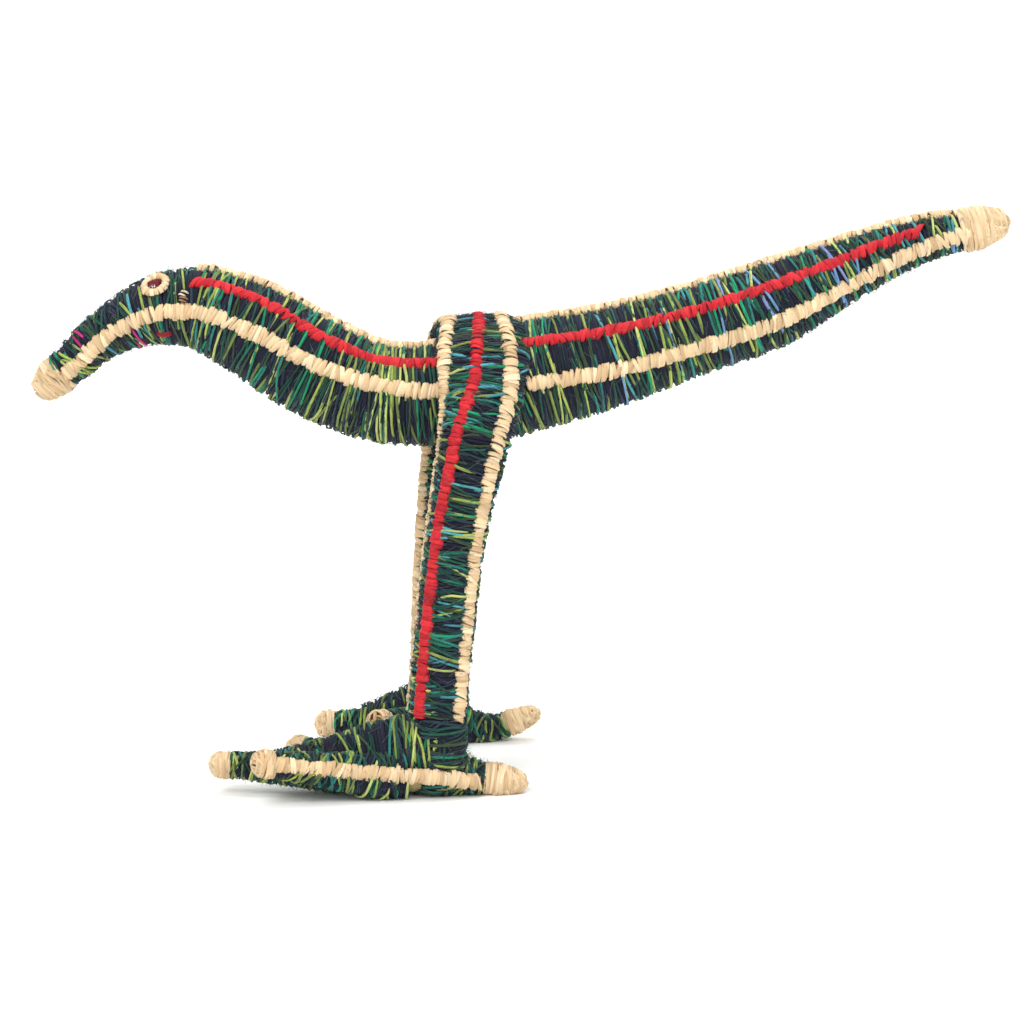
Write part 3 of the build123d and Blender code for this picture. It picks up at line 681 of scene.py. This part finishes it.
for side, side_name in side_names.items():
    rng = np.random.default_rng(300 + side)
    strands = Strands()
    column = ankle_forms[side]
    wound(strands, column, 0.0, column.length, rng, 5.0, [DEEP], 350, slant=3.0)
    ball = heel(side)
    wound(strands, ball, 0.5, ball.length - 0.5, rng, 4.0, [LIME, GREEN], 150, slant=3.0)
    instep = instep_forms[side]
    wound(strands, instep, 0.0, instep.length, rng, 3.0, [LIME, LIME, GREEN], 500, slant=3.0)
    for toe in range(len(toe_names)):
        form = toe_form(side, toe)
        begin = toe_start_share * form.length
        wound(strands, form, begin, form.length, rng, 3.0, [LIME, GREEN], 260, slant=2.6)
    fan(strands, side, rng)
    strands.piece(side_name + "_foot_wool", wool, [side_name + "_foot_wool"])

# %% [markdown]
# A raffia line is a row of satin stitches: flat strips laid side by side across the line, each one
# dived into the wool at both ends. The strips overlap, lean and end unevenly, and that uneven edge
# is what makes the line look sewn. A low core under them lifts the middle of the line.

# %% Stitched lines
STRAW = [(0.66, 0.47, 0.27), (0.72, 0.53, 0.32), (0.58, 0.40, 0.22), (0.76, 0.59, 0.38),
         (0.66, 0.49, 0.29)]
SHADED_STRAW = (0.46, 0.31, 0.17)
SCARLET = [(0.50, 0.012, 0.022), (0.56, 0.020, 0.028), (0.40, 0.008, 0.016),
           (0.52, 0.016, 0.024)]
strip_arc, strip_points = 104, 9


def pick_straw(rng, dyes):
    return np.array(dyes[rng.integers(len(dyes))]) * rng.uniform(0.82, 1.12)


def stitches(strands, form, start, end, angles, half_width, height, pitch, dyes, rng, lean=0.9):
    """Strips across a line on a form. The angles, in degrees, place the line round the form."""
    length = abs(end - start)
    count = max(int(length / pitch), 2)
    knots = np.linspace(0, 1, len(angles))

    def track(s):
        share = (s - start) / (end - start)
        return form.skin(s, np.radians(np.interp(share, knots, angles)), 0.0)

    core_s = np.linspace(start, end, max(count // 2, 4))
    core, core_out = track(core_s)
    # The core's dye is the first dye at 0.7: painted shade where the core shows between the strips.
    strands.lay(core - core_out * 0.4, core_out, half_width * 0.82, height * 0.55, ROUND,
                np.array(dyes[0]) * 0.7)
    for k in range(count):
        s = start + (end - start) * (k + 0.5 + rng.normal(0, 0.12)) / count
        centre, out = track(np.array([s]))
        ahead, _ = track(np.array([s + 0.5 * np.sign(end - start)]))
        centre, out = centre[0], out[0]
        along = unit(ahead[0] - centre)
        across = np.cross(out, along)
        phi = np.radians(np.linspace(-strip_arc, strip_arc, strip_points))
        wide = half_width * rng.uniform(0.84, 1.06)
        ragged = np.where(phi < 0, rng.uniform(0.9, 1.25), rng.uniform(0.9, 1.22))
        tall = height * rng.uniform(0.82, 1.14)
        tilt = rng.normal(0.30, 0.55) * lean
        path = (centre - out * 0.8 + across * (wide * ragged * np.sin(phi))[:, None]
                + out * (tall * np.cos(phi))[:, None]
                + along * (tilt * wide * 0.45 * np.sin(phi))[:, None])
        face = unit(out * np.cos(phi)[:, None] + across * np.sin(phi)[:, None]
                    + along * rng.normal(0.12, 0.14))
        strip = pitch * rng.uniform(0.50, 0.86)
        strands.lay(path, face, strip, rng.uniform(0.4, 0.75), CREASED, pick_straw(rng, dyes))


raffia_width, raffia_height, raffia_pitch = 4.0, 3.4, 2.1
red_width, red_height, red_pitch = 3.0, 2.9, 2.2
saddle_gap = 24.0
front_end = mark(HIP) - saddle_gap
rear_start = mark(HIP) + saddle_gap
rear_tip = body.length - 6.0
# Degrees from the middle of the back down to the lines along each side, at each spine station.
raffia_angles = [108, 106, 96, 91, 91, 86, 81, 73, 79, 86, 92, 99, 107, 109, 113, 107, 92]
red_angles = [44, 44, 44, 44, 44, 44, 47, 42, 43, 46, 48, 52, 58, 58, 63, 60, 58]


def angles_between(table, start, end):
    """A table's angles at even steps between two marks along the body."""
    return np.interp(np.linspace(start, end, 20), body.marks, table)


line_jobs = []
for side, side_name in side_names.items():
    for part, start, end in (("_side_line", 8.0, front_end), ("_tail_line", rear_start, rear_tip)):
        angles = -side * angles_between(raffia_angles, start, end)
        line_jobs.append((side_name + part, start, end, angles))
line_jobs += [("crown_line", mark(CROWN), front_end, [0, 0]),
              ("tail_top_line", rear_start, rear_tip, [0, 0])]
for seed, (name, start, end, angles) in enumerate(line_jobs):
    rng = np.random.default_rng(400 + seed)
    strands = Strands()
    stitches(strands, body, start, end, angles, raffia_width, raffia_height, raffia_pitch, STRAW,
             rng)
    strands.piece(name, raffia, [name])
for side, side_name in side_names.items():
    for part, start, end in (("_red_neck_line", mark(CROWN), front_end),
                             ("_red_tail_line", rear_start, mark(TAIL_END))):
        rng = np.random.default_rng(430 + int(start) + side)
        strands = Strands()
        angles = -side * angles_between(red_angles, start, end)
        stitches(strands, body, start, end, angles, red_width, red_height, red_pitch, SCARLET, rng,
                 lean=2.0)
        strands.piece(side_name + part, red_raffia, [side_name + part])

# %% [markdown]
# Each leg carries a raffia line in front and one behind, and a red line down its outer face that
# starts in the middle of the back. The hip lines carry on over the back, one in front of the red
# line and one behind it.

# %% Lines on the legs and hips
front_turns = [-112, -112, -112, -105, -82, -70, -60, -54, -50]
rear_turns = [50, 50, 46, 42, 40, 36, 32, 26, 22]
red_turns = [-40, -42, -42, -36, -14, -10, -8, -6, -6]


def station_angles(turns, first, last):
    """Angles at even steps between two leg stations."""
    s = np.linspace(yoke.marks[first], yoke.marks[last], 12)
    return list(np.interp(s, yoke.marks[:len(turns)], turns))


for side, side_name in side_names.items():
    def along_leg(s):
        return s if side == LEFT else yoke.length - s

    for part, turns in (("_leg_front_line", front_turns), ("_leg_rear_line", rear_turns)):
        rng = np.random.default_rng(500 + side + len(part))
        strands = Strands()
        angles = station_angles(turns, 0, THIGH)
        stitches(strands, yoke, along_leg(0.0), along_leg(thigh_mark), angles,
                 raffia_width * 0.9, raffia_height, raffia_pitch, STRAW, rng)
        if part == "_leg_rear_line":
            column = ankle_forms[side]
            stitches(strands, column, 0.0, column.length * 0.72, [50, 42], raffia_width * 0.8,
                     raffia_height, raffia_pitch, STRAW, rng)
        strands.piece(side_name + part, raffia, [side_name + part])
    rng = np.random.default_rng(520 + side)
    strands = Strands()
    stitches(strands, yoke, along_leg(0.0), along_leg(top_mark), station_angles(red_turns, 0, TOP),
             red_width * 1.12, red_height, red_pitch, SCARLET, rng, lean=0.5)
    name = side_name + "_red_leg_line"
    strands.piece(name, red_raffia, [name])
for name, turns in (("hip_front_line", front_turns), ("hip_rear_line", rear_turns)):
    rng = np.random.default_rng(540 + len(name))
    strands = Strands()
    up = station_angles(turns, THIGH, TOP)
    stitches(strands, yoke, thigh_mark, yoke.length - thigh_mark, up + up[::-1],
             raffia_width, raffia_height, raffia_pitch, STRAW, rng)
    strands.piece(name, raffia, [name])

# %% [markdown]
# Beak, tail and toes end in caps of raffia. A cap is a small form of its own: one strip spirals up
# it, over a closed filling. Loose strips lie over that, and a few are folded across the end.

# %% Caps
folded_strips = 9
beak_cap_length, beak_cap_radius, cap_grip = 18.0, 10.4, 9.0
tail_cap_length, tail_cap_radius = 26.0, 11.6


def cap(name, form, rng, pitch=2.6):
    """One raffia cap wound over a form."""
    strands = Strands()
    fill(strands, form, 0.0, form.length, -0.8)
    strands.dyes[-1][:] = SHADED_STRAW
    turns = form.length / pitch + 1
    turn = np.linspace(0, turns, int(turns * 18))
    wander = wavering(turn, turns + 1, 0.35, lambda n: rng.normal(0, 0.45, n))
    s = np.clip(turn * pitch + wander - pitch * 0.3, 0, form.length)
    swell = wavering(turn, turns + 1, 0.3, lambda n: rng.uniform(-0.3, 0.8, n))
    path, out = form.skin(s, 2 * math.pi * turn, swell)
    shades = np.array([pick_straw(rng, STRAW) for _ in range(int(turns * 3) + 2)])
    strands.lay(path, out, pitch * 0.62, 0.8, CREASED, blend(turn * 3, shades))
    for _ in range(int(form.length * 1.2)):
        t = np.linspace(-1, 1, 9)
        s = rng.uniform(0.08, 0.8) * form.length + rng.normal(0, 1.2) * t
        angle = rng.uniform(0, 2 * math.pi) + t * rng.uniform(0.5, 1.3)
        path, out = form.skin(np.clip(s, 0, form.length), angle, 0.9 - 1.6 * np.abs(t) ** 4)
        strands.lay(path, out, rng.uniform(0.6, 1.2), 0.5, CREASED, pick_straw(rng, STRAW))
    for _ in range(folded_strips):
        lean = rng.uniform(0, 2 * math.pi)
        t = np.linspace(0, 1, 9)
        s = form.length * (0.55 + 0.43 * np.sin(t * math.pi))
        path, out = form.skin(s, lean + rng.uniform(1.2, 2.6) * t, 0.6)
        strands.lay(path, out, 1.2, 0.5, CREASED, pick_straw(rng, STRAW))
    strands.piece(name, raffia, [name])


for seed, (name, end, inward, length, radius) in enumerate((
        ("beak_cap", 0.0, 1, beak_cap_length, beak_cap_radius),
        ("tail_cap", body.length, -1, tail_cap_length, tail_cap_radius))):
    tip, before, back = body.rows_at(np.array([end, end + inward * 4.0, end + inward * cap_grip]))
    form = rounded_cap(back, unit(tip[:3] - before[:3]), length, radius, (0, -1, 0), TAPERED)
    cap(name, form, np.random.default_rng(600 + seed))
for side, side_name in side_names.items():
    for toe, toe_name in enumerate(toe_names):
        form = toe_form(side, toe)
        tip, before = form.rows_at(np.array([form.length, form.length - 3.0]))
        direction = unit(tip[:3] - before[:3])
        cap_form = rounded_cap(tip, direction, toes[side][toe][4], tip[3] + 0.5,
                               level_side(side, toe), TAPERED if toe == HIND else BLUNT)
        rng = np.random.default_rng(610 + side * 10 + toe)
        cap(side_name + "_" + toe_name + "_toe_cap", cap_form, rng)

# %% [markdown]
# Along the outer edge of each foot runs one more line of stitches. It starts at the hind cap, goes
# round the heel and follows the side of the outer toe to its cap, so it gets a thin form of its own.

# %% Foot edge lines
# Each heel point: distance behind the ankle, distance outward, height.
heel_edge_points = [(23.0, 10.5, 8.5), (3.0, 16.8, 12.3)]
edge_sink, edge_turn, edge_width, edge_height = 0.8, math.radians(14.0), 3.9, 2.7
for side, side_name in side_names.items():
    rng = np.random.default_rng(700 + side)
    strands = Strands()
    ankle = leg_rows(side)[0]
    route = [(ankle[0] + back, ankle[1] + side * out, up, 0.6, 0.6)
             for back, out, up in heel_edge_points]
    across = level_side(side, OUTER)
    across = across * np.sign(across[1] * side)
    for share in (0.3, 0.6, cap_share(side, OUTER)):
        row = np.array(toe_row(side, OUTER, share))
        way = across * math.cos(edge_turn) + np.array((0, 0, math.sin(edge_turn)))
        route.append((*(row[:3] + way * (row[3] - edge_sink)), 0.6, 0.6))
    edge = WoundForm(route, (0, side, 0))
    stitches(strands, edge, 0.0, edge.length, [90, 90], edge_width, edge_height, raffia_pitch, STRAW,
             rng)
    strands.piece(side_name + "_foot_edge_line", raffia, [side_name + "_foot_edge_line"])

# %% [markdown]
# The eye is a ring of short raffia stitches round a dark red button of thread. The button starts as
# a sphere that is pressed flat in edit mode, and a few threads are laid over it and joined to it.
# The ring's stitches stand out from it like rays.

# %% Eyes and mouth
eye_angle, mouth_angle = 39.0, 128.0
ray_count, ray_middle, ray_half = 17, 5.9, 2.5
button_radius, button_rise = 3.6, 2.0
thread_count, thread_gap, threads_radius = 6, 1.25, 3.7
BUTTON, CENTRE, MOUTH = (0.07, 0.006, 0.008), (0.11, 0.008, 0.012), (0.22, 0.012, 0.018)


def face_frame(side, angle):
    """Place, outward, backward and sideways at the eye's station."""
    marks = np.array([mark(EYE), mark(EYE) + 1.0])
    (place, behind), (out, _) = body.skin(marks, math.radians(-side * angle), 0.0)
    backward = unit(behind - place)
    return place, out, backward, np.cross(out, backward)


def button(place, out, radius, rise, dye):
    """A sphere pressed flat in edit mode and turned to face outward."""
    bpy.ops.mesh.primitive_uv_sphere_add(segments=24, ring_count=12, radius=radius * MM)
    made = bpy.context.object
    bpy.ops.object.mode_set(mode="EDIT")
    bpy.ops.transform.resize(value=(1, 1, rise / radius))
    bpy.ops.object.mode_set(mode="OBJECT")
    bpy.ops.object.shade_smooth()
    made.rotation_euler = Vector(out).to_track_quat("Z", "Y").to_euler()
    made.location = Vector(place * MM)
    bpy.ops.object.transform_apply()
    made.data.uv_layers[0].name = "fibre"
    colour = made.data.color_attributes.new("dye", "FLOAT_COLOR", "POINT")
    colour.data.foreach_set("color", np.tile((*dye, 1.0), len(made.data.vertices)))
    return made


for side, side_name in side_names.items():
    rng = np.random.default_rng(720 + side)
    place, out, backward, across = face_frame(side, eye_angle)
    t = np.linspace(-1, 1, 7)
    strands = Strands()
    for k in range(ray_count):
        angle = 2 * math.pi * k / ray_count
        ray = backward * math.cos(angle) + across * math.sin(angle)
        span = (ray_middle + t * ray_half * rng.uniform(0.9, 1.1))
        path = place + ray * span[:, None] + out * (2.3 * np.cos(t * 1.45) - 0.6)[:, None]
        face = unit(out + ray * t[:, None] * 0.8)
        strands.lay(path, face, 1.35, 0.4, CREASED, pick_straw(rng, STRAW))
    strands.piece(side_name + "_eye_ring", raffia, [side_name + "_eye_ring"])
    pressed = button(place + out * 0.2, out, button_radius, button_rise, BUTTON)
    strands = Strands()
    for k in range(thread_count):
        offset = (k - (thread_count - 1) / 2) * thread_gap
        half = math.sqrt(max(threads_radius ** 2 - offset ** 2, 0.5))
        path = (place + backward * offset + across * (t * half)[:, None]
                + out * (2.6 * np.cos(t * 1.4) - 0.4)[:, None])
        dye = np.array(CENTRE) * rng.uniform(0.7, 1.3)
        strands.lay(path, np.tile(out, (7, 1)), 0.85, 0.6, ROUND, dye)
    name = side_name + "_eye_centre"
    threads = strands.piece(name, red_raffia, [name])
    bpy.ops.object.select_all(action="DESELECT")
    pressed.select_set(True)
    threads.select_set(True)
    bpy.context.view_layer.objects.active = threads
    bpy.ops.object.join()
    place, out, backward, across = face_frame(side, mouth_angle)
    strands = Strands()
    for k in range(3):
        path = (place + across * (k - 1) * 1.1 + backward * (t * 4.3)[:, None]
                + out * (1.6 * np.cos(t * 1.5) - 0.3)[:, None])
        dye = np.array(MOUTH) * rng.uniform(0.8, 1.2)
        strands.lay(path, np.tile(out, (7, 1)), 0.75, 0.55, ROUND, dye)
    name = side_name + "_mouth_stitch"
    strands.piece(name, red_raffia, [name])

# %% [markdown]
# The wires, the twine and the grass lie hidden inside and keep their plain solids. Each still gets
# the finish of the real thing, so the inside is right if the bird is cut open.

# %% Finishes for the hidden core
def core_material(name, light, dark, scale, roughness, metallic):
    material = bpy.data.materials.new(name)
    material.use_nodes = True
    nodes, links = material.node_tree.nodes, material.node_tree.links
    shader = nodes["Principled BSDF"]
    where = nodes.new("ShaderNodeTexCoord")
    stretch = nodes.new("ShaderNodeMapping")
    stretch.inputs["Scale"].default_value = scale
    noise = nodes.new("ShaderNodeTexNoise")
    noise.inputs["Scale"].default_value = 1.0
    ramp = nodes.new("ShaderNodeValToRGB")
    ramp.color_ramp.elements[0].color = (*dark, 1)
    ramp.color_ramp.elements[1].color = (*light, 1)
    links.new(where.outputs["Object"], stretch.inputs["Vector"])
    links.new(stretch.outputs["Vector"], noise.inputs["Vector"])
    links.new(noise.outputs["Fac"], ramp.inputs["Fac"])
    links.new(ramp.outputs["Color"], shader.inputs["Base Color"])
    shader.inputs["Roughness"].default_value = roughness
    shader.inputs["Metallic"].default_value = metallic
    return material


core_finishes = {
    "grass": core_material("dry_grass", (0.50, 0.40, 0.18), (0.24, 0.17, 0.06), (60, 900, 900),
                           0.85, 0),
    "wire": core_material("galvanised_wire", (0.42, 0.42, 0.40), (0.22, 0.22, 0.21),
                          (300, 300, 300), 0.45, 1),
    "twine": core_material("plant_twine", (0.48, 0.34, 0.18), (0.30, 0.20, 0.10),
                           (700, 700, 700), 0.9, 0),
}
for node_name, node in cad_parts.items():
    for word, finish in core_finishes.items():
        if word in node_name:
            node.data.materials.clear()
            node.data.materials.append(finish)
            print(node_name, "is", finish.name)
